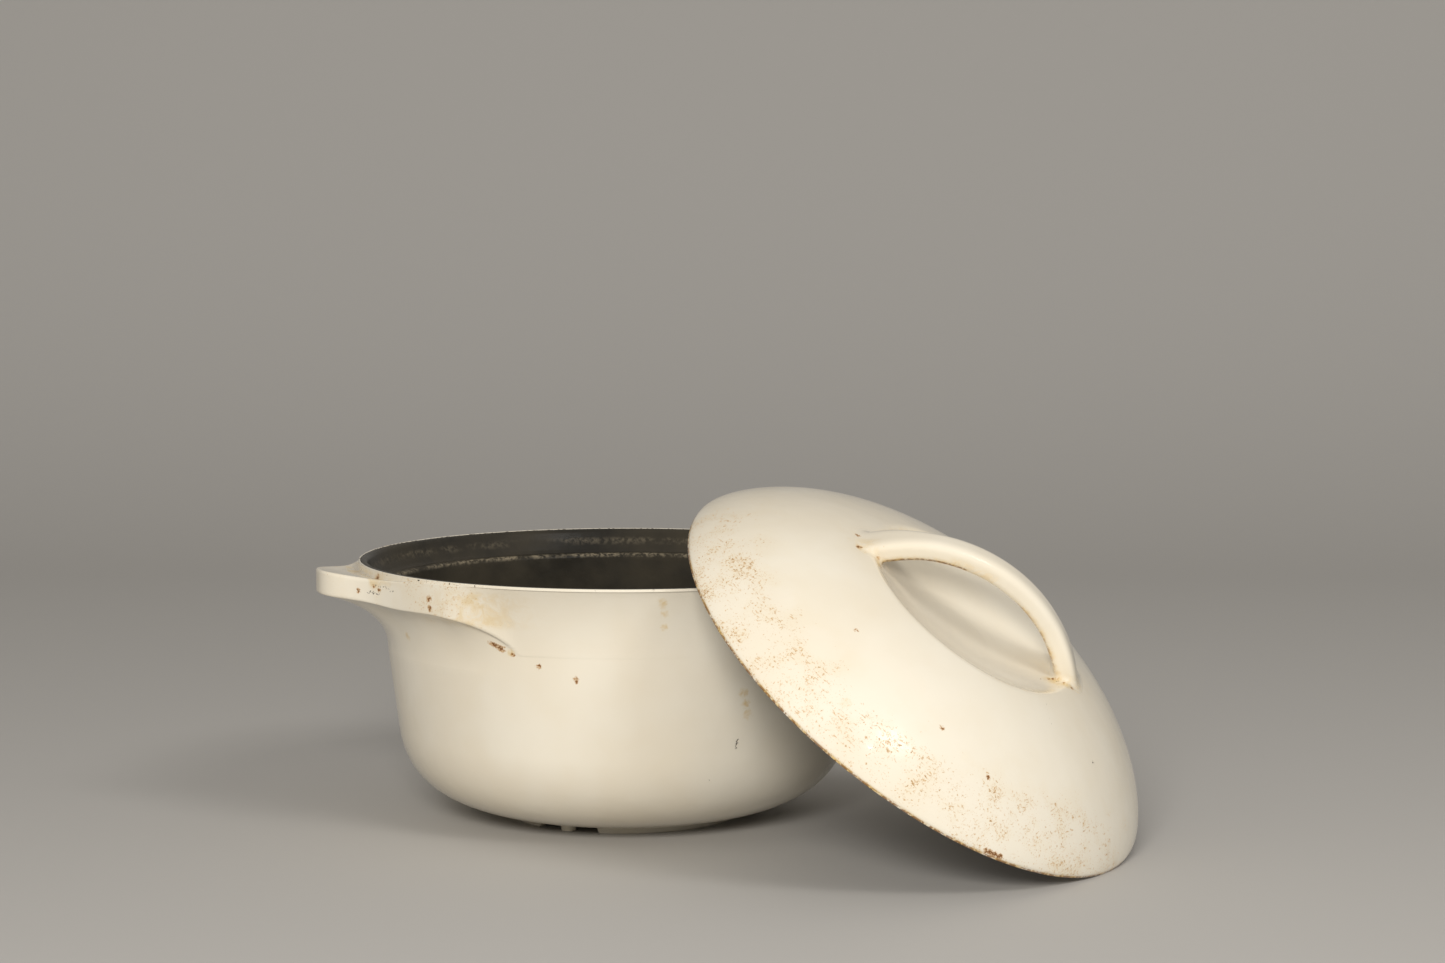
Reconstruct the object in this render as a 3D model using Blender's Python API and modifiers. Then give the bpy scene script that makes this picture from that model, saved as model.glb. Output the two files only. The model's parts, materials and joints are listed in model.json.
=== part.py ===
"""Enamelled cast iron dutch oven: a flared round pot with two wing lugs, and a domed lid leaning on its rim.

Run with: blender --background --python part.py
Metres, +Z up. The origin is on the pot's axis, on the plane that the foot ring stands on, and the lugs
lie along X. The lid leans on the rim with its lower edge on that same plane.
"""

import math

import bmesh
import bpy
import numpy as np
from mathutils import Matrix, Vector

# Clearances
GAP = 0.0003  # between pieces that touch
ENAMEL = 0.0006  # black coat on the inside of both castings

# Pot
RIM_RADIUS = 0.1212  # outer edge of the rim
POT_HEIGHT = 0.1186  # foot to rim
RIM_WIDTH = 0.0035
RIM_ROUND = 0.0006
RIM_BLACK = 0.0026  # how much of the rim's top the black coat covers, from its inner edge
RIM_FLARE = 0.0078  # how far the rim stands out from the straight wall
BODY_RADIUS = RIM_RADIUS - RIM_FLARE  # outer wall, carried straight up to the rim's height
WALL_TAPER = 0.133  # loss of radius per unit of height
FLARE_HEIGHT = 0.035
FLARE_POWER = 2.4
POT_WALL = 0.0045
POT_FLOOR = 0.0055
LEDGE_DEPTH = 0.0110
LEDGE_WIDTH = 0.0040
LEDGE_MOUTH = 0.0050  # how far the bore narrows between the rim and the ledge
LEDGE_BEND = (0.35, 0.45)  # where that narrowing bends: shares of its width and of its depth
KNUCKLE_HEIGHT = 0.0417  # where the straight wall turns into the base
BASE_FLAT_RADIUS = 0.0287
KNUCKLE_REACH = 0.0250  # handle of the base curve at the wall
BASE_REACH = 0.0512  # handle of the base curve at the flat

# Foot
FOOT_RADIUS = 0.0522
FOOT_WIDTH = 0.0040
FOOT_HEIGHT = 0.0015  # from the foot to the flat under the base
FOOT_ARCS = 3
FOOT_GAP = math.radians(33)
FOOT_GAP_AT = math.radians(224.5)
NUB_RADIUS = 0.0035
NUB_ROOT = POT_FLOOR / 3  # how far the nubs run into the base

# Lugs
LUG_REACH = 0.0210
LUG_HALF_WIDTH = math.radians(9.0)
LUG_POINT = 3.0  # how bluntly the lug's outline ends
LUG_STEP = 0.0038  # rim down to the top of the lug
LUG_STEP_SPREAD = math.radians(28)
LUG_STEP_POWER = 3  # how suddenly that step fades away along the rim
LUG_RISE = 0.0031  # upward sweep of the lug's tip
LUG_SADDLE = (0.5, 0.3)  # a point on the lug's top: shares of its reach and of its rise
LUG_EDGE = 0.0012
LUG_FACE = 0.0115  # rim down to the foot of the outer face, at the tip
LUG_FACE_GROWTH = 0.0033
LUG_TIP_SPAN = math.radians(22)
LUG_SWEEP_FROM = math.radians(28)  # where the foot of the face starts to sweep down
LUG_SWEEP_TO = math.radians(50)
LUG_SWEEP_DROP = 0.0167
LUG_SWEEP_POWER = 2.5
LUG_MELT_FROM = math.radians(34)  # where the upright face starts to lean back into the wall
LUG_MELT_TO = math.radians(50)
GUSSET_FOOT = 0.0400  # rim down to where the web under the lug meets the wall
GUSSET_INSET = 0.6
GUSSET_BEND = (0.16, 0.47)  # shares of the web's height at the two handles of its curve

# Lid, in its own frame: +Z along its axis, z = 0 on its seat
LID_INSET = 0.0026  # how far the closed lid's edge stays inside the rim's
LID_RADIUS = RIM_RADIUS - LID_INSET
LID_CROWN = 0.0470  # seat to the top of the unbroken dome
LID_EDGE = 0.0015
LID_POWER = 2.6
LID_SHOULDER = 0.8
LID_WALL = 0.0041
LID_SEAT_WIDTH = 0.0060
LID_SEAT_BLEND = 6.0  # how late the wall thickens towards the seat
DISH_RADIUS = 0.0520
DISH_DEPTH = 0.0140
DISH_LIP = 0.0015

# Bar handle across the dish
BAR_ANGLE = math.radians(30)
BAR_RADIUS = 0.0695  # of the arch's centre line
BAR_HEIGHT = 0.0632  # seat to the top of the centre line
BAR_THICKNESS = 0.0095
BAR_WIDTH = 0.0140
BAR_ROOT_WIDTH = 1.3  # width at the roots over width at the top
BAR_SINK = 0.0020  # depth of the bar's ends below the lid's top
BAR_FLARE_FROM = 0.6  # share of the bar's half length where it starts to widen

# Lean
LEAN_TILT = math.radians(39.5)
LEAN_HEADING = math.radians(-45.5)  # which way the lid's crown points, seen from above
LEAN_OFFSET = -0.0175  # sideways shift of the lid from the line through the pot's axis

# Mesh fineness
TURN_STEPS = 48
LUG_ROWS = (7, 7, 5)  # azimuth rows per quarter: at the tip, along the skirt and at the plain side
FACE_STEPS = 3
GUSSET_POINTS = 4
KNUCKLE_POINTS = 6
DOME_POINTS = 9
DISH_POINTS = 4
BAR_POINTS = 15
BAR_BEVEL = 3
NUB_SIDES = 12
SHARP_ANGLE = math.radians(40)
SAME_ANGLE = math.radians(0.5)
SAME_POINT = 1e-5
LEAN_ROWS = 120  # azimuth rows tried for the contact of the lid with the rim
LEAN_ROUNDS = 30

# Colors, as linear red, green and blue, and roughness
WHITE = ((0.86, 0.82, 0.72), 0.12)
BLACK = ((0.018, 0.017, 0.015), 0.45)


def clear_scene():
    for old in list(bpy.data.objects):
        bpy.data.objects.remove(old)


def new_collection(name):
    collection = bpy.data.collections.new(name)
    bpy.context.scene.collection.children.link(collection)
    return collection


def make_material(name, color, roughness):
    material = bpy.data.materials.new(name)
    material.use_nodes = True
    shader = material.node_tree.nodes["Principled BSDF"]
    shader.inputs["Base Color"].default_value = (*color, 1.0)
    shader.inputs["Roughness"].default_value = roughness
    return material


def add_object(name, mesh, collection, material, parent=None):
    piece = bpy.data.objects.new(name, mesh)
    collection.objects.link(piece)
    mesh.materials.append(material)
    mesh.shade_smooth()
    mesh.set_sharp_from_angle(angle=SHARP_ANGLE)
    piece.parent = parent
    return piece


def smoothstep(low, high, value):
    t = min(max((value - low) / (high - low), 0.0), 1.0)
    return t * t * (3 - 2 * t)


def bezier(p0, p1, p2, p3, t):
    s = 1 - t
    weights = (s**3, 3 * s * s * t, 3 * s * t * t, t**3)
    return tuple(sum(w * p[i] for w, p in zip(weights, (p0, p1, p2, p3))) for i in range(2))


def offset_line(points, distances):
    """Moves a line sideways, to the right of its direction, with mitred corners."""
    sides = []
    for (x0, y0), (x1, y1) in zip(points, points[1:]):
        length = math.hypot(x1 - x0, y1 - y0)
        sides.append(((y1 - y0) / length, (x0 - x1) / length))
    before = sides[:1] + sides
    after = sides + sides[-1:]
    moved = []
    for (x, y), a, b, distance in zip(points, before, after, distances):
        scale = distance / (1 + a[0] * b[0] + a[1] * b[1])
        moved.append((x + (a[0] + b[0]) * scale, y + (a[1] + b[1]) * scale))
    return moved


# ---- Pot profile: (radius, height) pairs -------------------------------------------------


def wall_radius(z):
    """Outer radius of the straight, tapered wall."""
    return BODY_RADIUS - WALL_TAPER * (POT_HEIGHT - z)


def flare_radius(z):
    """Outer radius of the plain wall, with its flare towards the rim."""
    rise = max(z - (POT_HEIGHT - FLARE_HEIGHT), 0.0) / FLARE_HEIGHT
    return wall_radius(z) + (RIM_RADIUS - BODY_RADIUS) * rise**FLARE_POWER


def knuckle(t, inset=0.0, floor=0.0):
    """The turn from the wall to the base, or its inner side, set in by the wall and up by the floor."""
    top_radius = wall_radius(KNUCKLE_HEIGHT)
    slope = Vector((-WALL_TAPER, -1.0)).normalized() * KNUCKLE_REACH
    start = (top_radius - inset, KNUCKLE_HEIGHT)
    end = (BASE_FLAT_RADIUS, FOOT_HEIGHT + floor)
    reach = BASE_REACH * (start[0] - end[0]) / (top_radius - BASE_FLAT_RADIUS)
    drop = (start[1] - end[1]) / (KNUCKLE_HEIGHT - FOOT_HEIGHT)
    near = (start[0] + slope.x, start[1] + slope.y * drop)
    return bezier(start, near, (end[0] + reach, end[1]), end, t)


def bore_profile(depth=0.0):
    """The inside of the pot from the rim to the axis, or the same line set back into the casting."""
    rim_inner = RIM_RADIUS - RIM_WIDTH
    ledge_z = POT_HEIGHT - LEDGE_DEPTH
    ledge_outer = rim_inner - LEDGE_MOUTH
    points = [
        (rim_inner, POT_HEIGHT),
        (rim_inner - LEDGE_MOUTH * LEDGE_BEND[0], POT_HEIGHT - LEDGE_DEPTH * LEDGE_BEND[1]),
        (ledge_outer, ledge_z),
        (ledge_outer - LEDGE_WIDTH, ledge_z),
    ]
    points += [knuckle(i / KNUCKLE_POINTS, POT_WALL, POT_FLOOR) for i in range(KNUCKLE_POINTS + 1)]
    points.append((0.0, FOOT_HEIGHT + POT_FLOOR))
    moved = offset_line(points, [-depth] * len(points))
    moved[-1] = (0.0, FOOT_HEIGHT + POT_FLOOR - depth)
    return moved


# ---- Lugs: every radial section of the pot has its own outline ---------------------------


def lug_angle(azimuth):
    """Angle from the nearer lug's centre line."""
    return abs((azimuth + math.pi / 2) % math.pi - math.pi / 2)


def lug_reach(angle):
    return LUG_REACH / (1 + (angle / LUG_HALF_WIDTH) ** LUG_POINT)


def face_foot(angle):
    """Depth of the foot of the lug's outer face below the rim."""
    growth = LUG_FACE_GROWTH * smoothstep(0, LUG_TIP_SPAN, angle)
    sweep = min(max((angle - LUG_SWEEP_FROM) / (LUG_SWEEP_TO - LUG_SWEEP_FROM), 0.0), 1.0)
    return LUG_FACE + growth + LUG_SWEEP_DROP * sweep**LUG_SWEEP_POWER


def lug_section(angle):
    """Outer outline of a radial section, from the rim's edge down to the straight wall."""
    reach = lug_reach(angle)
    pull = reach / LUG_REACH
    upright = 1 - smoothstep(LUG_MELT_FROM, LUG_MELT_TO, angle)
    fade = math.exp(-((angle / LUG_STEP_SPREAD) ** LUG_STEP_POWER))
    step = max(LUG_STEP * fade, 2 * RIM_ROUND)
    top = POT_HEIGHT - step
    edge = LUG_EDGE * pull
    foot = POT_HEIGHT - face_foot(angle)

    def face(z):
        return flare_radius(z) + (RIM_RADIUS - flare_radius(z)) * upright + reach

    tip_top = top + LUG_RISE * pull
    points = [
        (RIM_RADIUS, top),
        (RIM_RADIUS + reach * LUG_SADDLE[0], top + LUG_RISE * pull * LUG_SADDLE[1]),
        (face(tip_top) - edge, tip_top),
        (face(tip_top), tip_top - edge - RIM_ROUND),
    ]
    for i in range(1, FACE_STEPS):
        z = tip_top - edge + (foot - tip_top + edge) * i / FACE_STEPS
        points.append((face(z), z))
    points.append((face(foot), foot + edge))
    wall_z = POT_HEIGHT - GUSSET_FOOT
    start = (face(foot) - edge, foot)
    end = (wall_radius(wall_z), wall_z)
    near_bend, far_bend = GUSSET_BEND
    near = (start[0] - GUSSET_INSET * (start[0] - end[0]), foot - (foot - wall_z) * near_bend)
    far = (end[0] + GAP, wall_z + (foot - wall_z) * far_bend)
    for i in range(GUSSET_POINTS + 1):
        radius, z = bezier(start, near, far, end, i / GUSSET_POINTS)
        points.append((radius * upright + flare_radius(z) * (1 - upright), z))
    return points


def foot_depth(azimuth):
    """1 along the arcs of the foot ring and 0 in the gaps between them."""
    spacing = 2 * math.pi / FOOT_ARCS
    from_gap = abs((azimuth - FOOT_GAP_AT + spacing / 2) % spacing - spacing / 2)
    return 1.0 if from_gap > FOOT_GAP / 2 else 0.0


def base_sides():
    """The turn of the base outside the foot ring, and the part inside it."""
    points = [knuckle(i / KNUCKLE_POINTS) for i in range(KNUCKLE_POINTS + 1)]
    outside = [p for p in points if p[0] > FOOT_RADIUS + GAP]
    inside = [p for p in points if p[0] < FOOT_RADIUS - FOOT_WIDTH - GAP]
    return outside, inside


def underside(radius):
    """Height of the base where the foot ring stands."""
    outside, inside = base_sides()
    high, low = outside[-1], inside[0]
    share = (radius - low[0]) / (high[0] - low[0])
    return low[1] + share * (high[1] - low[1])


def base_section(azimuth):
    """Outer outline from the straight wall over the foot ring to the flat under the base."""
    outer, inner = FOOT_RADIUS, FOOT_RADIUS - FOOT_WIDTH
    outside, inside = base_sides()
    ring = []
    for radius, on_foot in ((outer + GAP, 0), (outer, 1), (inner, 1), (inner - GAP, 0)):
        ring.append((radius, underside(radius) * (1 - on_foot * foot_depth(azimuth))))
    return outside + ring + inside


def pot_azimuths():
    """Azimuth rows, close together across the lugs and wider along the plain sides."""
    bounds = (0.0, LUG_TIP_SPAN, LUG_MELT_TO, math.pi / 2)
    quarter = []
    for low, high, rows in zip(bounds, bounds[1:], LUG_ROWS):
        quarter += [low + (high - low) * i / rows for i in range(rows)]
    half = quarter + [math.pi - a for a in [math.pi / 2, *reversed(quarter[1:])]]
    return half + [a + math.pi for a in half]


def pot_section(azimuth):
    """Closed outline of the casting: over the rim, down the outside, across and up the bore."""
    cap = POT_HEIGHT - ENAMEL - GAP
    bore = bore_profile(ENAMEL + GAP)
    lip = RIM_RADIUS - RIM_WIDTH + RIM_BLACK + GAP
    rim = [(bore[0][0], cap), (lip, cap), (lip, POT_HEIGHT), (RIM_RADIUS - RIM_ROUND, POT_HEIGHT)]
    outside = lug_section(lug_angle(azimuth)) + base_section(azimuth)
    return rim + outside, list(reversed(bore[1:-1]))


def ring_faces(mesh, row, other):
    for a0, a1, b0, b1 in zip(row, row[1:], other, other[1:]):
        mesh.faces.new((a0, b0, b1, a1))


def loft_pot():
    """A loft of radial sections round the axis, closed by one point under the base and one on the floor."""
    mesh = bmesh.new()
    bottom = mesh.verts.new((0, 0, FOOT_HEIGHT))
    top = mesh.verts.new((0, 0, bore_profile(ENAMEL + GAP)[-1][1]))
    rows = []
    for azimuth in pot_azimuths():
        outside, bore = pot_section(azimuth)
        cos, sin = math.cos(azimuth), math.sin(azimuth)
        rows.append(
            [[mesh.verts.new((r * cos, r * sin, z)) for r, z in side] for side in (outside, bore)]
        )
    for (outside, bore), (next_outside, next_bore) in zip(rows, rows[1:] + rows[:1]):
        ring_faces(mesh, outside, next_outside)
        ring_faces(mesh, bore, next_bore)
        mesh.faces.new((outside[0], bore[-1], next_bore[-1], next_outside[0]))
        mesh.faces.new((bottom, outside[-1], next_outside[-1]))
        mesh.faces.new((top, next_bore[0], bore[0]))
    bmesh.ops.recalc_face_normals(mesh, faces=mesh.faces)
    data = bpy.data.meshes.new("pot")
    mesh.to_mesh(data)
    mesh.free()
    return data


def turned(name, profile, collection, material, parent=None):
    """A turned solid: a closed profile at +X, outer side first from the top down, swept round Z."""
    mesh = bpy.data.meshes.new(name)
    count = len(profile)
    closed = profile[0][0] > 0 and profile[-1][0] > 0
    edges = [(i, (i + 1) % count) for i in range(count if closed else count - 1)]
    mesh.from_pydata([(r, 0, z) for r, z in profile], edges, [])
    piece = bpy.data.objects.new(name, mesh)
    collection.objects.link(piece)
    screw = piece.modifiers.new("Turn", "SCREW")
    screw.steps = screw.render_steps = TURN_STEPS
    screw.use_merge_vertices = True
    screw.merge_threshold = SAME_POINT
    screw.use_smooth_shade = True
    mesh.materials.append(material)
    piece.parent = parent
    return piece


def union(piece, other, collection):
    """Joins a helper mesh to a piece."""
    other.hide_render = True
    other.display_type = "WIRE"
    collection.objects.link(other)
    boolean = piece.modifiers.new("Join " + other.name, "BOOLEAN")
    boolean.operation = "UNION"
    boolean.object = other


def make_pot(parts, helpers):
    enamel = make_material("white enamel", *WHITE)
    pot = add_object("pot_casting", loft_pot(), parts, enamel)
    spacing = 2 * math.pi / FOOT_ARCS
    radius = FOOT_RADIUS - FOOT_WIDTH / 2
    height = underside(radius + NUB_RADIUS) + NUB_ROOT
    for i in range(FOOT_ARCS):
        azimuth = FOOT_GAP_AT + i * spacing
        nub = bmesh.new()
        place = Vector((radius * math.cos(azimuth), radius * math.sin(azimuth), height / 2))
        bmesh.ops.create_cone(
            nub,
            cap_ends=True,
            segments=NUB_SIDES,
            radius1=NUB_RADIUS,
            radius2=NUB_RADIUS,
            depth=height,
            matrix=Matrix.Translation(place),
        )
        mesh = bpy.data.meshes.new(f"foot_nub_{i + 1}")
        nub.to_mesh(mesh)
        nub.free()
        union(pot, bpy.data.objects.new(mesh.name, mesh), helpers)
    return pot


def make_pot_lining(parts):
    """Black enamel over the rim's inner edge and down the bore, as one thin turned shell."""
    black = make_material("black enamel", *BLACK)
    inner = bore_profile()
    back = bore_profile(ENAMEL)
    lip = RIM_RADIUS - RIM_WIDTH + RIM_BLACK
    outer_edge = (lip, POT_HEIGHT)
    under_edge = (lip, POT_HEIGHT - ENAMEL)
    corner = (back[0][0], POT_HEIGHT - ENAMEL)
    profile = [outer_edge, under_edge, corner, *back[1:]]
    return turned("pot_lining", list(reversed(inner)) + profile, parts, black)


# ---- Lid ---------------------------------------------------------------------------------


def dome_height(radius):
    """Height of the unbroken dome over the seat."""
    share = min(radius / LID_RADIUS, 1.0)
    return LID_EDGE + (LID_CROWN - LID_EDGE) * (1 - share**LID_POWER) ** LID_SHOULDER


def lid_outside():
    """Top of the lid from the axis, over the dish's lip, to the foot of the rim."""
    lip_z = dome_height(DISH_RADIUS)
    bottom = lip_z - DISH_DEPTH
    dish = []
    for i in range(DISH_POINTS):
        radius = (DISH_RADIUS - DISH_LIP) * i / DISH_POINTS
        dish.append((radius, bottom + DISH_DEPTH * (radius / DISH_RADIUS) ** 2))
    lip = [(DISH_RADIUS - DISH_LIP, lip_z - DISH_LIP / 2), (DISH_RADIUS, lip_z)]
    dome = []
    start = math.asin(DISH_RADIUS / LID_RADIUS)
    for i in range(1, DOME_POINTS + 1):
        angle = start + (math.pi / 2 - start) * i / DOME_POINTS
        radius = LID_RADIUS * math.sin(angle)
        dome.append((radius, dome_height(radius)))
    return dish + lip + dome


def lid_underside(depth):
    """The line of the lid's top set down by its wall and a further depth, from the seat to the axis."""
    top = lid_outside()
    lip = DISH_POINTS + 1
    line = top[: lip - 1] + top[lip:]
    extra = LID_SEAT_WIDTH - LID_WALL
    thickness = [LID_WALL + extra * (r / LID_RADIUS) ** LID_SEAT_BLEND + depth for r, _ in line]
    hollow = offset_line(line, thickness)
    hollow[0] = (0.0, line[0][1] - thickness[0])
    hollow[-1] = (LID_RADIUS - LID_SEAT_WIDTH - depth, 0.0)
    return list(reversed(hollow))


def widen_and_root(mesh, centre_z, half):
    """Widens the bar towards its ends and lays both ends just below the lid's top."""
    radii, heights = zip(*lid_outside())
    for vertex in mesh.vertices:
        angle = math.atan2(abs(vertex.co.x), vertex.co.z - centre_z)
        root = smoothstep(BAR_FLARE_FROM, 1.0, angle / half)
        vertex.co.y *= BAR_WIDTH / BAR_THICKNESS * (1 + (BAR_ROOT_WIDTH - 1) * root)
        if angle > half - SAME_ANGLE:
            radius = math.hypot(vertex.co.x, vertex.co.y)
            vertex.co.z = np.interp(radius, radii, heights) - BAR_SINK


def bar_mesh():
    """The arched bar: a curve with an oval section that widens towards its roots."""
    curve = bpy.data.curves.new("bar", "CURVE")
    curve.dimensions = "3D"
    curve.bevel_depth = BAR_THICKNESS / 2
    curve.bevel_resolution = BAR_BEVEL
    curve.use_fill_caps = True
    spline = curve.splines.new("POLY")
    spline.points.add(BAR_POINTS - 1)
    centre_z = BAR_HEIGHT - BAR_RADIUS
    half = math.acos((dome_height(DISH_RADIUS) - centre_z) / BAR_RADIUS)
    for i, point in enumerate(spline.points):
        angle = half * (2 * i / (BAR_POINTS - 1) - 1)
        x = BAR_RADIUS * math.sin(angle)
        z = centre_z + BAR_RADIUS * math.cos(angle)
        point.co = (x, 0, z, 1)
    source = bpy.data.objects.new("bar_curve", curve)
    bpy.context.scene.collection.objects.link(source)
    graph = bpy.context.evaluated_depsgraph_get()
    mesh = bpy.data.meshes.new_from_object(source.evaluated_get(graph))
    bpy.data.objects.remove(source)
    widen_and_root(mesh, centre_z, half)
    weld = bmesh.new()
    weld.from_mesh(mesh)
    bmesh.ops.remove_doubles(weld, verts=weld.verts, dist=SAME_POINT)
    bmesh.ops.recalc_face_normals(weld, faces=weld.faces)
    weld.to_mesh(mesh)
    weld.free()
    mesh.transform(Matrix.Rotation(BAR_ANGLE, 4, "Z"))
    return mesh


def make_lid(parts, helpers, pose):
    enamel = make_material("white enamel lid", *WHITE)
    outside = lid_outside()
    underside = lid_underside(0.0)
    seat = [(LID_RADIUS, 0.0)]
    lid = turned("lid_casting", outside + seat + underside, parts, enamel, pose)
    bar = bpy.data.objects.new("bar_handle", bar_mesh())
    bar.parent = pose
    union(lid, bar, helpers)
    return lid


def make_lid_lining(parts, pose):
    """Black enamel under the dome, as one thin turned shell."""
    black = make_material("black enamel lid", *BLACK)
    near = lid_underside(GAP)
    far = lid_underside(GAP + ENAMEL)
    return turned("lid_lining", list(reversed(near)) + far, parts, black, pose)


# ---- Lean --------------------------------------------------------------------------------


def rim_points():
    """Points along the top edge of the rim and over the lugs."""
    points = []
    for i in range(LEAN_ROWS):
        azimuth = 2 * math.pi * i / LEAN_ROWS
        rim = [(RIM_RADIUS - RIM_ROUND, POT_HEIGHT)]
        for radius, z in rim + lug_section(lug_angle(azimuth)):
            points.append(Vector((radius * math.cos(azimuth), radius * math.sin(azimuth), z)))
    return points


def lid_clearance(distance, points):
    """Least height from the points up to the leaning lid's underside."""
    into_lid = lean_matrix(distance).inverted()
    radii, heights = zip(*reversed(lid_underside(ENAMEL + GAP)))
    flat = math.cos(math.pi / TURN_STEPS)  # the turned lid's facets run inside its true circles
    least = LID_RADIUS
    for point in points:
        local = into_lid @ point
        radius = math.hypot(local.x, local.y) / flat
        if radius < LID_RADIUS + GAP:
            least = min(least, np.interp(radius, radii, heights) - local.z)
    return least


def contact_distance():
    """Distance of the lid's centre from the pot's axis where it comes to rest on the rim."""
    points = rim_points()
    near, far = 0.0, 2 * RIM_RADIUS
    for _ in range(LEAN_ROUNDS):
        middle = (near + far) / 2
        if lid_clearance(middle, points) > GAP:
            far = middle
        else:
            near = middle
    return far


def lean_matrix(distance):
    """The leaning lid's frame, with its axis tilted and its lowest edge on the ground."""
    heading = Matrix.Rotation(LEAN_HEADING, 4, "Z")
    tilt = Matrix.Rotation(LEAN_TILT, 4, "Y")
    height = LID_RADIUS * math.sin(LEAN_TILT)
    place = heading @ Vector((distance, LEAN_OFFSET, height))
    return Matrix.Translation(place) @ heading @ tilt


def build():
    clear_scene()
    parts = new_collection("dutch_oven")
    helpers = new_collection("helpers")
    make_pot(parts, helpers)
    make_pot_lining(parts)
    pose = bpy.data.objects.new("lid_pose", None)
    parts.objects.link(pose)
    pose.matrix_world = lean_matrix(contact_distance())
    make_lid(parts, helpers, pose)
    make_lid_lining(parts, pose)


build()
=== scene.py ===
"""Looks of an enamelled cast iron dutch oven: finer castings, worn enamel, a pale floor, light and a camera.

Everything is in metres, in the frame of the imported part: the pot's axis is Z, the floor is z = 0 and the
lugs lie along X. The lid has a frame of its own, with z = 0 on its seat, which is read from the part.
"""

import json
import math

import bpy
import numpy as np
from mathutils import Matrix, Vector


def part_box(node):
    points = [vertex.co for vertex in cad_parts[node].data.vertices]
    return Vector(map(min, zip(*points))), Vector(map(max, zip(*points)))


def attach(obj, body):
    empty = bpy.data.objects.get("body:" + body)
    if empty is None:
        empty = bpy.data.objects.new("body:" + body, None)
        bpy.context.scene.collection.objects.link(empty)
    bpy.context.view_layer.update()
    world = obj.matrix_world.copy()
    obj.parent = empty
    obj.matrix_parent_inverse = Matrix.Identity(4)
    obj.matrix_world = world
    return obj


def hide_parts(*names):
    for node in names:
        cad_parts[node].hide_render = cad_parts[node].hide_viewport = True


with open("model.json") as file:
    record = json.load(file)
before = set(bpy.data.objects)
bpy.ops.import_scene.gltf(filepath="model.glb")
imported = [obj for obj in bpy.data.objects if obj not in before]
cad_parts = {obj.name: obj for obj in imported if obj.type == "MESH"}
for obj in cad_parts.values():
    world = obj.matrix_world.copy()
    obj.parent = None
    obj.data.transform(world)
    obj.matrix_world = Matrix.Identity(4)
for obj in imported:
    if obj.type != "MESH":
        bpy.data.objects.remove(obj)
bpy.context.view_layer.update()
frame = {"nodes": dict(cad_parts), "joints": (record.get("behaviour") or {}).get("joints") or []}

# ---- Sizes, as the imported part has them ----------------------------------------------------

ENAMEL = 0.0006  # black coat on the inside of both castings
GAP = 0.0003  # between a casting and its coat
ENAMEL_SEAM = 0.00005  # between the coat's lip and the casting's rim
RIM_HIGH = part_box("pot_lining")[1]
HEIGHT = RIM_HIGH.z
RIM_WIDTH = 0.0035
RIM_BLACK = 0.0026  # how much of the rim's top the black coat covers
RIM = RIM_HIGH.x + RIM_WIDTH - RIM_BLACK
RIM_ROUND = 0.0006
RIM_ROUNDS = (0.0003, 0.0009)  # at the rim's inner and outer top edge
RIM_FLARE = 0.0078
BODY_RADIUS = RIM - RIM_FLARE
WALL_TAPER = 0.133
FLARE_HEIGHT = 0.035
FLARE_POWER = 2.4
POT_WALL = 0.0045
POT_FLOOR = 0.0055
LEDGE_DEPTH = 0.0110
LEDGE_WIDTH = 0.0040
LEDGE_MOUTH = 0.0050
LEDGE_BEND = (0.35, 0.45)  # shares of the mouth's width and of the ledge's depth
BORE_ROUNDS = (0.0008, 0.004, 0.0012, 0.0010)  # from the rim's inner edge to under the ledge
LIP_DROP = 0.0002  # how far the coat's lip thins out, over its last LIP_WIDTH
LIP_WIDTH = 0.0006
SKIN_SHARE = 0.7  # of coat and gap, that the casting's own inside keeps behind the bore
SKIN_TOP = 0.002  # where that inside ends below the rim
KNUCKLE_HEIGHT = 0.0417
BASE_FLAT_RADIUS = 0.0287
KNUCKLE_REACH = 0.0250
BASE_REACH = 0.0512

FOOT_RADIUS = 0.0522
FOOT_WIDTH = 0.0040
FOOT_HEIGHT = 0.0015
FOOT_ARCS = 3
FOOT_GAP = math.radians(33)
FOOT_GAP_AT = math.radians(224.5)
FOOT_SLOPE = (0.006, 0.012)  # radians into the gap and into the arc, at an arc's ends
FOOT_MARGIN = 0.0012  # base on each side of the ring that is drawn as finely as the ring
FOOT_FLANK = (0.0005, 0.0003)  # outside and inside the ring's edge
NUB_RADIUS = 0.0033
NUB_HEIGHT = 0.0045
NUB_HEAD = 1.1  # radius at the base over radius at the foot
NUB_ROUNDS = (0.0008, 0.0003)

LUG_REACH = 0.0210
LUG_HALF_WIDTH = math.radians(9.0)
LUG_POINT = 3.0
LUG_STEP = 0.0038
LUG_STEP_SPREAD = math.radians(28)
LUG_STEP_POWER = 3
LUG_RISE = 0.0031
LUG_SADDLE = (0.5, 0.3)  # a point on the lug's top: shares of its reach and of its rise
LUG_EDGE = 0.0027  # from the face's top or foot to its next point
LUG_FACE = 0.0115
LUG_FACE_GROWTH = 0.0033
LUG_TIP_SPAN = math.radians(22)
LUG_SWEEP = (math.radians(28), math.radians(50))
LUG_SWEEP_DROP = 0.0167
LUG_SWEEP_POWER = 2.5
LUG_MELT = (math.radians(34), math.radians(50))
GUSSET_FOOT = 0.0400
GUSSET_INSET = 0.6
GUSSET_BEND = (0.16, 0.47)  # shares of the web's height at the two handles of its curve
# Roundings of the lug's outline, and what its tip adds to them; the last grows where the face melts away.
STEP_ROUND = (0.0008, 0.0012)
SADDLE_ROUND = 0.02
TIP_ROUND = (0.0012, 0.0014)
UNDER_ROUND = (0.0010, 0.006)

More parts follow.
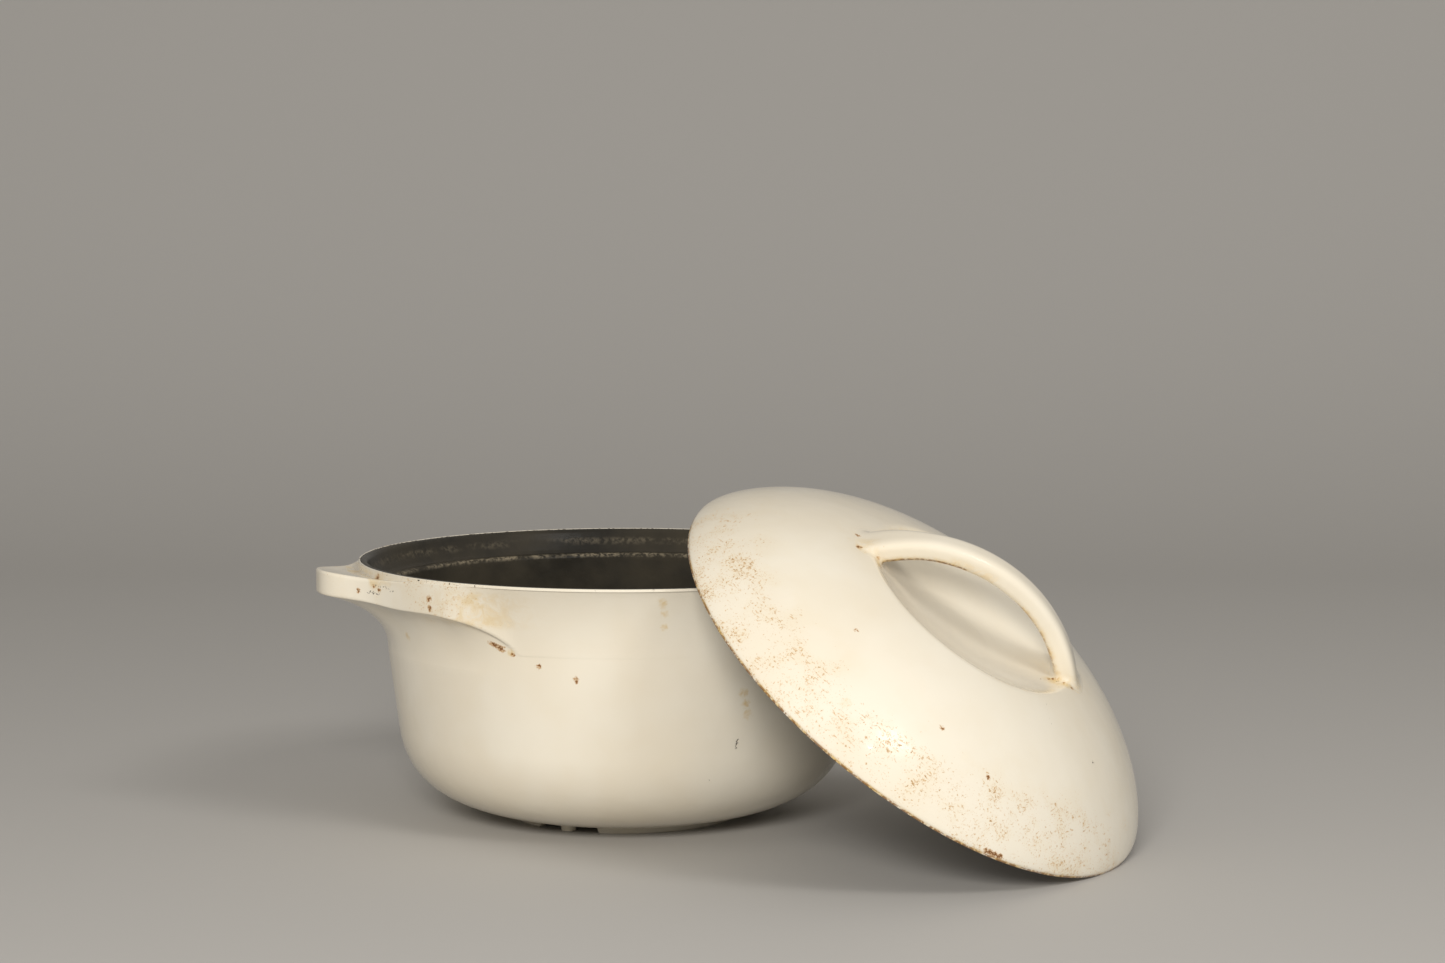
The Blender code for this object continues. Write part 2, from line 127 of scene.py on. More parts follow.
LID_CROWN = 0.0470
LID_EDGE = 0.0015
LID_POWER = 2.6
LID_SHOULDER = 0.8
LID_WALL = 0.0041
LID_SEAT_WIDTH = 0.0060
LID_SEAT_BLEND = 6.0
DISH_RADIUS = 0.0520
DISH_DEPTH = 0.0140
DISH_LIP_REACH = (0.006, 0.003)  # round the lip: nothing is softened outside, all inside
POLE = 0.0008  # radius of the ring next to the lid's axis
RIM_LAST = 0.0005  # where the hollow's curve stops short of the seat's inner edge
SEAT_RISE = 0.0012  # and above the seat
COAT_RISE = 0.0003  # the lid's black coat stops this far above the seat

BAR_ANGLE = math.radians(30)
BAR_RADIUS = 0.0695
BAR_HEIGHT = 0.0632
BAR_THICKNESS = 0.0095
BAR_WIDTH = 0.0140
BAR_ROOT_WIDTH = 1.3
BAR_SQUARENESS = 3.2
BAR_ROOT_SQUARENESS = 4.0
BAR_FILLET = 0.0026
BAR_SKIRT = 0.0040
BAR_END = math.radians(50.5)
BAR_END_SOFT = 0.0015  # rounding of the bar's blunt ends
BAR_ROOT_FROM = 0.55  # share of the bar's half length where its roots begin
BAR_PLAIN = 0.80  # share of it that is plain bar; the rest is skirt
BAR_SEARCH = 0.78  # share of it where the search for the lid's surface begins
SKIRT_FLUSH = 0.97  # share of the skirt where it dives below the lid's surface
SKIRT_LIFT = 0.00003
SKIRT_DIP = 0.0001

# ---- Fineness ------------------------------------------------------------------------------

POT_ROWS = 480
LID_ROWS = 480
NUB_ROWS = 48
BAR_COUNTS = ((64, 90, 24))  # round it, along it, down each skirt
RIM_POINTS = 18
LUG_POINTS = 110
WEB_POINTS = 40
FACE_POINTS = 14
SIDE_POINTS = 16
WALL_POINTS = 50
BACK_POINTS = 40
RING_POINTS = 9
BORE_POINTS = 110
COAT_POINTS = 60
FLOOR_TURN_POINTS = 40
LID_TOP_POINTS = 420
LID_UNDER_POINTS = 160
DISH_POINTS = 44
DOME_POINTS = 90
HOLLOW_POINTS = 200


# ---- Plane curves: arrays of (radius, height) ----------------------------------------------


def smoothstep(low, high, value):
    t = np.clip((np.asarray(value, float) - low) / (high - low), 0.0, 1.0)
    return t * t * (3 - 2 * t)


def bezier(p0, p1, p2, p3, count):
    t = np.linspace(0, 1, count)[:, None]
    s = 1 - t
    p0, p1, p2, p3 = (np.array(p, float) for p in (p0, p1, p2, p3))
    return s**3 * p0 + 3 * s * s * t * p1 + 3 * s * t * t * p2 + t**3 * p3


def rounded(points, radii, steps=8):
    """A line with its corners rounded off; a radius of 0 keeps the corner."""
    points = [np.array(p, float) for p in points]
    line = [points[0]]
    for before, corner, after, radius in zip(points, points[1:], points[2:], radii):
        a, b = before - corner, after - corner
        length_a, length_b = np.linalg.norm(a), np.linalg.norm(b)
        if radius <= 0 or min(length_a, length_b) < 1e-9:
            line.append(corner)
            continue
        half = math.acos(float(np.clip(a @ b / (length_a * length_b), -1, 1))) / 2
        cut = min(radius / max(math.tan(half), 1e-6), 0.48 * length_a, 0.48 * length_b)
        start, end = corner + a / length_a * cut, corner + b / length_b * cut
        for t in np.linspace(0, 1, steps):
            line.append((1 - t) ** 2 * start + 2 * t * (1 - t) * corner + t * t * end)
    line.append(points[-1])
    return np.array(line)


def resampled(line, count):
    """The same line with evenly spaced points."""
    line = np.asarray(line, float)
    steps = np.linalg.norm(np.diff(line, axis=0), axis=1)
    along = np.concatenate([[0], np.cumsum(steps)])
    wanted = np.linspace(0, along[-1], count)
    return np.stack([np.interp(wanted, along, line[:, k]) for k in (0, 1)], axis=1)


def softened(line, rounds):
    """Evens out a line's bends without moving its ends."""
    line = line.copy()
    for _ in range(rounds):
        line[1:-1] = (line[:-2] + 2 * line[1:-1] + line[2:]) / 4
    return line


def offset(line, distances):
    """The line moved sideways, to the right of its direction."""
    along = np.gradient(line, axis=0)
    along /= np.linalg.norm(along, axis=1)[:, None]
    side = np.stack([along[:, 1], -along[:, 0]], axis=1)
    return line + side * np.asarray(distances)[:, None]


# ---- Pot -----------------------------------------------------------------------------------


def wall_radius(z):
    return BODY_RADIUS - WALL_TAPER * (HEIGHT - z)


def flare_radius(z):
    rise = np.maximum(z - (HEIGHT - FLARE_HEIGHT), 0.0) / FLARE_HEIGHT
    return wall_radius(z) + (RIM - BODY_RADIUS) * rise**FLARE_POWER


def knuckle(count, inset=0.0, floor=0.0):
    """The turn from the wall to the base, or the same turn inside the pot."""
    top_radius = wall_radius(KNUCKLE_HEIGHT)
    slope = np.array((-WALL_TAPER, -1.0)) / math.hypot(WALL_TAPER, 1.0) * KNUCKLE_REACH
    start = (top_radius - inset, KNUCKLE_HEIGHT)
    end = (BASE_FLAT_RADIUS, FOOT_HEIGHT + floor)
    reach = BASE_REACH * (start[0] - end[0]) / (top_radius - BASE_FLAT_RADIUS)
    drop = (start[1] - end[1]) / (KNUCKLE_HEIGHT - FOOT_HEIGHT)
    near = (start[0] + slope[0], start[1] + slope[1] * drop)
    return bezier(start, near, (end[0] + reach, end[1]), end, count)


def bore_line():
    """Inside of the pot from the top of the rim to the edge of its flat floor."""
    inner = RIM - RIM_WIDTH
    ledge = inner - LEDGE_MOUTH
    top = [
        (inner + RIM_BLACK, HEIGHT),
        (inner, HEIGHT),
        (inner - LEDGE_MOUTH * LEDGE_BEND[0], HEIGHT - LEDGE_DEPTH * LEDGE_BEND[1]),
        (ledge, HEIGHT - LEDGE_DEPTH),
        (ledge - LEDGE_WIDTH, HEIGHT - LEDGE_DEPTH),
        (wall_radius(KNUCKLE_HEIGHT) - POT_WALL, KNUCKLE_HEIGHT),
    ]
    upper = rounded(top, BORE_ROUNDS)
    lower = knuckle(FLOOR_TURN_POINTS, POT_WALL, POT_FLOOR)
    return np.concatenate([upper, lower[1:]])


def lug_angle(azimuth):
    """Angle to the middle of the nearer lug."""
    return abs((azimuth + math.pi / 2) % math.pi - math.pi / 2)


def lug_reach(angle):
    """How far the lug stands out from the rim, this far from its middle."""
    return LUG_REACH / (1 + (angle / LUG_HALF_WIDTH) ** LUG_POINT)


def lug_line(angle):
    """Outside of the pot from under the black lip to the foot of the web, this far from a lug's middle."""
    reach = lug_reach(angle)
    pull = reach / LUG_REACH
    upright = 1 - float(smoothstep(*LUG_MELT, angle))
    fade = math.exp(-((angle / LUG_STEP_SPREAD) ** LUG_STEP_POWER))
    step = max(LUG_STEP * fade, 2 * RIM_ROUND)
    growth = LUG_FACE_GROWTH * float(smoothstep(0, LUG_TIP_SPAN, angle))
    sweep = min(max((angle - LUG_SWEEP[0]) / (LUG_SWEEP[1] - LUG_SWEEP[0]), 0.0), 1.0)
    foot = HEIGHT - LUG_FACE - growth - LUG_SWEEP_DROP * sweep**LUG_SWEEP_POWER
    lip = RIM - RIM_WIDTH + RIM_BLACK + ENAMEL_SEAM
    top = HEIGHT - step
    tip = top + LUG_RISE * pull

    def face(z):
        return flare_radius(z) + (RIM - flare_radius(z)) * upright + reach

    edge = min((tip - foot) / 4, LUG_EDGE)
    heights = [tip, *np.linspace(tip - edge, foot + edge, FACE_POINTS), foot]
    faces = [(face(z), z) for z in heights]
    rim = rounded([(lip, HEIGHT - ENAMEL), (lip, HEIGHT), (RIM, HEIGHT), (RIM, HEIGHT - 2 * RIM_ROUND)],
                  RIM_ROUNDS, 6)
    saddle = (RIM + reach * LUG_SADDLE[0], top + LUG_RISE * pull * LUG_SADDLE[1])
    wall_z = HEIGHT - GUSSET_FOOT
    start = (face(foot), foot)
    end = (wall_radius(wall_z), wall_z)
    near = (start[0] - GUSSET_INSET * (start[0] - end[0]), foot - (foot - wall_z) * GUSSET_BEND[0])
    far = (end[0] + GAP, wall_z + (foot - wall_z) * GUSSET_BEND[1])
    web = bezier(start, near, far, end, WEB_POINTS)
    web[:, 0] = web[:, 0] * upright + flare_radius(web[:, 1]) * (1 - upright)
    outline = [(RIM, HEIGHT - 2 * RIM_ROUND), (RIM, top), saddle, *faces, *web[1:]]
    radii = [STEP_ROUND[0] + STEP_ROUND[1] * pull, SADDLE_ROUND, TIP_ROUND[0] + TIP_ROUND[1] * pull]
    radii += [0.0] * FACE_POINTS + [UNDER_ROUND[0] + UNDER_ROUND[1] * (1 - upright)]
    radii += [0.0] * (WEB_POINTS - 1)
    lug = resampled(rounded(outline, radii), LUG_POINTS)
    return np.concatenate([resampled(rim, RIM_POINTS), lug[1:]])


def foot_share(azimuth):
    """1 along the arcs of the foot ring and 0 in the gaps, with short slopes between."""
    spacing = 2 * math.pi / FOOT_ARCS
    from_gap = abs((azimuth - FOOT_GAP_AT + spacing / 2) % spacing - spacing / 2)
    return float(smoothstep(FOOT_GAP / 2 - FOOT_SLOPE[0], FOOT_GAP / 2 + FOOT_SLOPE[1], from_gap))


def base_line(azimuth, turn):
    """Outside of the base from the straight wall over the foot ring to the flat."""
    outer, inner = FOOT_RADIUS, FOOT_RADIUS - FOOT_WIDTH
    outside = turn[turn[:, 0] > outer + FOOT_MARGIN]
    inside = turn[turn[:, 0] < inner - FOOT_MARGIN]
    radii = np.concatenate([np.linspace(edge + FOOT_MARGIN, edge - FOOT_MARGIN, RING_POINTS)
                            for edge in (outer, inner)])
    under = np.interp(radii, turn[::-1, 0], turn[::-1, 1])
    share = smoothstep(outer + FOOT_FLANK[0], outer - FOOT_FLANK[1], radii)
    share = share * smoothstep(inner - FOOT_FLANK[0], inner + FOOT_FLANK[1], radii)
    ring = np.stack([radii, under * (1 - share * foot_share(azimuth))], axis=1)
    return np.concatenate([outside, ring, inside])


def pot_rows():
    """Closed radial sections of the casting, from the floor of its bore over the rim to the base."""
    bore = bore_line()[1:]
    back = offset(bore, np.full(len(bore), -(ENAMEL + GAP) * SKIN_SHARE))
    back = resampled(back[back[:, 1] < HEIGHT - SKIN_TOP], BACK_POINTS)[::-1]
    wall = resampled([(wall_radius(HEIGHT - GUSSET_FOOT), HEIGHT - GUSSET_FOOT),
                      (wall_radius(KNUCKLE_HEIGHT), KNUCKLE_HEIGHT)], SIDE_POINTS)
    turn = knuckle(WALL_POINTS)
    rows = []
    for i in range(POT_ROWS):
        azimuth = 2 * math.pi * i / POT_ROWS
        outside = lug_line(lug_angle(azimuth))
        rows.append(np.concatenate([back, outside, wall[1:], base_line(azimuth, turn)[1:]]))
    return np.array(rows)


# ---- Closed grids --------------------------------------------------------------------------


def closed_grid(name, rows, start_z, end_z, matrix=None):
    """A closed solid of radial sections round Z, with a pole at each end of the sections.

    The vertices keep their own place, before the matrix, in the attribute named place.
    """
    count, points = rows.shape[0], rows.shape[1]
    azimuths = np.linspace(0, 2 * math.pi, count, endpoint=False)
    x = rows[:, :, 0] * np.cos(azimuths)[:, None]
    y = rows[:, :, 0] * np.sin(azimuths)[:, None]
    grid = np.stack([x, y, rows[:, :, 1]], axis=2).reshape(-1, 3)
    place = np.concatenate([grid, [(0, 0, start_z), (0, 0, end_z)]])
    i = np.arange(count)[:, None]
    j = np.arange(points - 1)[None, :]
    this, following = i * points + j, (i + 1) % count * points + j
    quads = np.stack([this, following, following + 1, this + 1], axis=2).reshape(-1, 4)
    i = np.arange(count)
    start, following = i * points, (i + 1) % count * points
    first_fan = np.stack([np.full(count, len(grid)), following, start], axis=1)
    last_fan = np.stack([np.full(count, len(grid) + 1), start + points - 1, following + points - 1], axis=1)
    faces = quads.tolist() + first_fan.tolist() + last_fan.tolist()
    return new_piece(name, place, faces, matrix)


def new_piece(name, place, faces, matrix=None):
    """A mesh object with its normals outwards, its points moved by the matrix."""
    world = place
    if matrix is not None:
        m = np.array(matrix)
        world = place @ m[:3, :3].T + m[:3, 3]
    mesh = bpy.data.meshes.new(name)
    mesh.from_pydata(world.tolist(), [], faces)
    mesh.validate()
    if signed_volume(mesh) < 0:
        mesh.flip_normals()
    mesh.shade_smooth()
    stored = mesh.attributes.new("place", "FLOAT_VECTOR", "POINT")
    stored.data.foreach_set("vector", place.astype(np.float32).ravel())
    piece = bpy.data.objects.new(name, mesh)
    bpy.context.scene.collection.objects.link(piece)
    return piece


def signed_volume(mesh):
    """Volume of a closed mesh, below 0 where its faces look inwards."""
    mesh.calc_loop_triangles()
    points = np.empty(len(mesh.vertices) * 3)
    mesh.vertices.foreach_get("co", points)
    corners = np.empty(len(mesh.loop_triangles) * 3, int)
    mesh.loop_triangles.foreach_get("vertices", corners)
    a, b, c = points.reshape(-1, 3)[corners.reshape(-1, 3)].transpose(1, 0, 2)
    return float((a * np.cross(b, c)).sum() / 6)


def store(piece, name, values):
    """Keeps one number per vertex, for the materials."""
    attribute = piece.data.attributes.new(name, "FLOAT", "POINT")
    attribute.data.foreach_set("value", np.asarray(values, np.float32))


def places(piece):
    values = np.empty(len(piece.data.vertices) * 3, np.float32)
    piece.data.attributes["place"].data.foreach_get("vector", values)
    return values.reshape(-1, 3).astype(float)


def turned_rows(line, count):
    """The rows of a shape that is the same all round."""
    return np.repeat(np.asarray(line)[None], count, axis=0)


# ---- Lid -----------------------------------------------------------------------------------


def lid_frame():
    """(matrix of the lid's own frame, its radius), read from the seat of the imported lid."""
    axis = Vector(frame["joints"][0]["axis"]).normalized()
    points = np.array([v.co for v in frame["nodes"]["lid_casting"].data.vertices])
    depth = points @ np.array(axis)
    seat = points[depth < depth.min() + GAP]
    centre = seat.mean(axis=0)
    radius = np.linalg.norm(seat - centre, axis=1).max()
    level = Vector((axis.x, axis.y, 0)).normalized()
    across = Vector((0, 0, 1)).cross(level)
    down = across.cross(axis)
    matrix = Matrix((down, across, axis)).transposed().to_4x4()
    return Matrix.Translation(Vector(centre)) @ matrix, float(radius)


LID_MATRIX, LID_RADIUS = lid_frame()


def dome_height(radius):
    """Height of the unbroken dome over the seat."""
    share = np.minimum(np.asarray(radius, float) / LID_RADIUS, 1.0)
    return LID_EDGE + (LID_CROWN - LID_EDGE) * (1 - share**LID_POWER) ** LID_SHOULDER


def dish_drop(radius):
    """Depth of the dish below its lip."""
    return DISH_DEPTH * (1 - (radius / DISH_RADIUS) ** 2)


def lid_top_line():
    """Top of the lid from near its axis, over the dish's rounded lip, to its edge."""
    lip = float(dome_height(DISH_RADIUS))
    dish = [(r, lip - dish_drop(r)) for r in np.linspace(POLE, DISH_RADIUS, DISH_POINTS)]
    angles = np.linspace(math.asin(DISH_RADIUS / LID_RADIUS), math.pi / 2, DOME_POINTS)[1:]
    dome = [(LID_RADIUS * math.sin(a), float(dome_height(LID_RADIUS * math.sin(a)))) for a in angles]
    outline = dish + dome + [(LID_RADIUS, 0.0)]
    line = resampled(outline, LID_TOP_POINTS)
    near_lip = smoothstep(*DISH_LIP_REACH, np.hypot(line[:, 0] - DISH_RADIUS, line[:, 1] - lip))
    soft = softened(line, 40)
    return line + (soft - line) * near_lip[:, None]


def lid_under_line(depth):
    """Underside of the dome from the seat's inner edge to near the axis."""
    outline = [(r, float(dome_height(r)) - dish_drop(r) * (r < DISH_RADIUS))
               for r in np.linspace(POLE, LID_RADIUS * 0.9995, HOLLOW_POINTS)]
    line = softened(resampled(outline, LID_UNDER_POINTS), 60)
    extra = LID_SEAT_WIDTH - LID_WALL
    thickness = LID_WALL + extra * (line[:, 0] / LID_RADIUS) ** LID_SEAT_BLEND + depth
    hollow = offset(line, thickness)
    inner = LID_RADIUS - LID_SEAT_WIDTH - depth
    clear = (hollow[:, 0] < inner - RIM_LAST) & (hollow[:, 1] > SEAT_RISE) & (hollow[:, 0] > RIM_LAST)
    hollow = hollow[clear]
    return np.concatenate([hollow, [(inner, 0.0)]])[::-1]


# ---- Bar handle: blended into the lid ------------------------------------------------------


class BarShape:
    """The arched bar in the lid's frame, and the surface that blends it into the lid's top."""

    def __init__(self):
        self.line = np.array(lid_top_line())
        self.turn = np.array(Matrix.Rotation(BAR_ANGLE, 3, "Z"))
        self.centre_z = BAR_HEIGHT - BAR_RADIUS
        self.half = math.acos((float(dome_height(DISH_RADIUS)) - self.centre_z) / BAR_RADIUS)

    def section(self, angle):
        """Half the width, half the thickness and the squareness at an angle along the arch."""
        root = smoothstep(BAR_ROOT_FROM, 1.0, np.abs(angle) / self.half)
        wide = BAR_WIDTH / 2 * (1 + (BAR_ROOT_WIDTH - 1) * root)
        power = BAR_SQUARENESS + (BAR_ROOT_SQUARENESS - BAR_SQUARENESS) * root
        return wide, BAR_THICKNESS / 2, power

    def point(self, angle, turn):
        """Point on the plain bar, at an angle along the arch and a turn round its section."""
        wide, thick, power = self.section(angle)
        c, s = math.cos(turn), math.sin(turn)
        size = (abs(c) ** power + abs(s) ** power) ** (-1 / power)
        across = wide * size * c
        out = BAR_RADIUS + thick * size * s
        local = np.array((out * math.sin(angle), across, self.centre_z + out * math.cos(angle)))
        return self.turn @ local

    def from_bar(self, points):
        """Distance from the plain bar's surface, below 0 inside."""
        local = points @ self.turn
        angle = np.arctan2(local[:, 0], local[:, 2] - self.centre_z)
        wide, thick, power = self.section(angle)
        out = np.hypot(local[:, 0], local[:, 2] - self.centre_z) - BAR_RADIUS
        size = np.hypot(local[:, 1], out) + 1e-9
        level = (np.abs(local[:, 1]) / wide) ** power + (np.abs(out) / thick) ** power
        side = size * (1 - 1 / np.maximum(level, 1e-9) ** (1 / power))
        end = (np.abs(angle) - BAR_END) * BAR_RADIUS
        share = np.clip(0.5 + 0.5 * (end - side) / BAR_END_SOFT, 0, 1)
        return side * (1 - share) + end * share + BAR_END_SOFT * share * (1 - share)

    def from_lid(self, points):
        """Distance from the lid's top surface, below 0 inside."""
        flat = np.stack([np.hypot(points[:, 0], points[:, 1]), points[:, 2]], axis=1)
        a, b = self.line[:-1], self.line[1:]
        step = b - a
        best = np.full(len(flat), 9.0)
        signed = np.zeros(len(flat))
        for start, along in zip(a, step):
            t = np.clip(((flat - start) @ along) / (along @ along), 0, 1)
            gap = flat - start - t[:, None] * along
            distance = np.hypot(gap[:, 0], gap[:, 1])
            side = along[0] * gap[:, 1] - along[1] * gap[:, 0]
            nearer = distance < best
            best = np.where(nearer, distance, best)
            signed = np.where(nearer, np.where(side > 0, distance, -distance), signed)
        return signed

    def blended(self, points):
        bar, lid = self.from_bar(points), self.from_lid(points)
        share = np.clip(0.5 + 0.5 * (lid - bar) / BAR_FILLET, 0, 1)
        return lid * (1 - share) + bar * share - BAR_FILLET * share * (1 - share)

    def settled(self, points, surface, rounds=6):
        """Points moved onto a surface given by its distance function."""
        points = points.copy()
        reach = 1e-5
        for _ in range(rounds):
            value = surface(points)
            slope = np.stack([(surface(points + step) - surface(points - step)) / (2 * reach)
                              for step in reach * np.eye(3)], axis=1)
            slope_square = np.maximum((slope**2).sum(axis=1), 0.05)
            points -= slope * (np.clip(value, -0.002, 0.002) / slope_square)[:, None]
        return points


def bar_piece():
    """The bar with skirts at its roots that run out flush with the lid, closed below its surface."""
    shape = BarShape()
    around, along, skirt = BAR_COUNTS
    turns = np.linspace(0, 2 * math.pi, around, endpoint=False)
    last = shape.half * BAR_PLAIN
    rings = [np.array([shape.point(angle, turn) for turn in turns])
             for angle in np.linspace(-last, last, along)]
    roots = []
    for sign in (-1, 1):
        start = np.array([shape.point(sign * last, turn) for turn in turns])
        meet = np.array([surface_meeting(shape, sign, turn) for turn in turns])
        middle = meet.mean(axis=0)
        away = meet - middle
        away[:, 2] = 0
        away /= np.linalg.norm(away, axis=1)[:, None]
        outer = shape.settled(meet + away * BAR_SKIRT, shape.from_lid, 5)
        root = []
        for t in np.linspace(0, 1, skirt + 1)[1:]:
            ring = (1 - t) ** 2 * start + 2 * t * (1 - t) * meet + t * t * outer
            ring = shape.settled(ring, shape.blended)
            root.append(ring + np.array((0, 0, SKIRT_LIFT if t < SKIRT_FLUSH else -SKIRT_DIP)))
        root.append(middle + (outer - middle) * 0.6 - np.array((0, 0, 0.0025)))
        roots.append((root, middle - np.array((0, 0, 0.003))))
    rings = [shape.settled(ring, shape.blended, 3) for ring in rings]
    grid = roots[0][0][::-1] + rings + roots[1][0]
    place = np.concatenate(grid + [roots[0][1][None], roots[1][1][None]])
    faces = []
    for i in range(len(grid) - 1):
        for j in range(around):
            k = (j + 1) % around
            faces.append((i * around + j, i * around + k, (i + 1) * around + k, (i + 1) * around + j))
    first, last_row = len(place) - 2, (len(grid) - 1) * around
    for j in range(around):
        k = (j + 1) % around
        faces.append((first, k, j))
        faces.append((len(place) - 1, last_row + j, last_row + k))
    return new_piece("lid_bar", place, faces, LID_MATRIX)


def surface_meeting(shape, sign, turn):
    """Where a line along the bar's side, or down from its end, first meets the lid's top."""
    angles = sign * np.linspace(shape.half * BAR_SEARCH, BAR_END, 60)
    points = np.array([shape.point(angle, turn) for angle in angles])
    below = shape.from_lid(points) < 0
    if not below.any():
        return points[-1]
    return points[int(np.argmax(below))]


# ---- Node helpers --------------------------------------------------------------------------


class Nodes:
    """Short calls for building one material's nodes."""

    def __init__(self, name):
        self.material = bpy.data.materials.new(name)
        self.material.use_nodes = True
        self.tree = self.material.node_tree
        self.shader = self.tree.nodes["Principled BSDF"]

    def link(self, value, socket):
        if isinstance(value, bpy.types.NodeSocket):
            self.tree.links.new(value, socket)
        else:
            socket.default_value = value

    def attribute(self, name):
        node = self.tree.nodes.new("ShaderNodeAttribute")
        node.attribute_name = name
        return node

    def math(self, operation, a, b=0.0, clamp=False):
        node = self.tree.nodes.new("ShaderNodeMath")
        node.operation = operation
        node.use_clamp = clamp
        self.link(a, node.inputs[0])
        self.link(b, node.inputs[1])
        return node.outputs[0]

    def vector(self, operation, a, b):
        node = self.tree.nodes.new("ShaderNodeVectorMath")
        node.operation = operation
        self.link(a, node.inputs[0])
        self.link(b, node.inputs[1])
        return node.outputs["Value" if operation in ("DISTANCE", "LENGTH") else "Vector"]

    def noise(self, place, scale, detail=3.0, rough=0.55, distort=0.0):
        node = self.tree.nodes.new("ShaderNodeTexNoise")
        self.link(place, node.inputs["Vector"])
        node.inputs["Scale"].default_value = scale
        node.inputs["Detail"].default_value = detail
        node.inputs["Roughness"].default_value = rough
        node.inputs["Distortion"].default_value = distort
        return node

    def step(self, value, low, high):
        """Smooth rise from 0 at low to 1 at high; falls where low is above high."""
        node = self.tree.nodes.new("ShaderNodeMapRange")
        node.interpolation_type = "SMOOTHSTEP"
        self.link(value, node.inputs["Value"])
        self.link(low, node.inputs["From Min"])
        self.link(high, node.inputs["From Max"])
        return node.outputs["Result"]

    def mix(self, share, a, b):
        node = self.tree.nodes.new("ShaderNodeMix")
        node.data_type = "RGBA"
        self.link(share, node.inputs["Factor"])
        self.link(a, node.inputs[6])
        self.link(b, node.inputs[7])
        return node.outputs[2]

    def bump(self, height, distance, strength=1.0, normal=None):
        node = self.tree.nodes.new("ShaderNodeBump")
        node.inputs["Strength"].default_value = strength
        node.inputs["Distance"].default_value = distance
        self.link(height, node.inputs["Height"])
        if normal is not None:
            self.link(normal, node.inputs["Normal"])
        return node.outputs["Normal"]

    def nearest(self, place, marks):
        """Least distance to the marks' centres, as a share of each mark's own radius."""
        least = None
        for centre, radius in marks:
            distance = self.vector("DISTANCE", place, centre)
            share = self.math("DIVIDE", distance, radius)
            least = share if least is None else self.math("MINIMUM", least, share)
        return least


def rgb(r, g, b):
    return (r, g, b, 1.0)


CREAM = rgb(0.84, 0.765, 0.62)  # the enamel's two tones
CREAM_PALE = rgb(0.88, 0.82, 0.69)
HAZE = rgb(0.78, 0.62, 0.34)  # round gathered specks
TAN = rgb(0.58, 0.33, 0.10)
BROWN = rgb(0.27, 0.12, 0.035)
YELLOW = rgb(0.70, 0.47, 0.13)
OCHRE = rgb(0.50, 0.25, 0.055)
RUST = rgb(0.22, 0.085, 0.018)
DARK = rgb(0.045, 0.026, 0.014)
BLACK = rgb(0.011, 0.010, 0.0075)  # the inside enamel's two tones
BLACK_PALE = rgb(0.022, 0.019, 0.0135)
DUST = rgb(0.050, 0.041, 0.026)
WORN = rgb(0.30, 0.25, 0.17)
# pale marks on the black enamel
PALE_MARK = rgb(0.26, 0.21, 0.13)
FLOOR_GREY = rgb(0.52, 0.505, 0.48)

HALO_SIZE = (1.8, 0.8)  # of a rust mark, in its own radii: where it begins and where it is full
CORE_SIZE = (0.85, 0.50)
DASH_SIZE = (1.05, 0.75)  # the same for a dark mark
STAIN_SIZE = (1.0, 0.15)
WOBBLE = (0.0042, 0.0042, 0.0042)  # how far noise pulls a mark's outline about
PALE_MARK_WOBBLE = (0.002, 0.002, 0.002)
GLOSS = 0.17  # roughness of clean white enamel
BLACK_GLOSS = 0.30


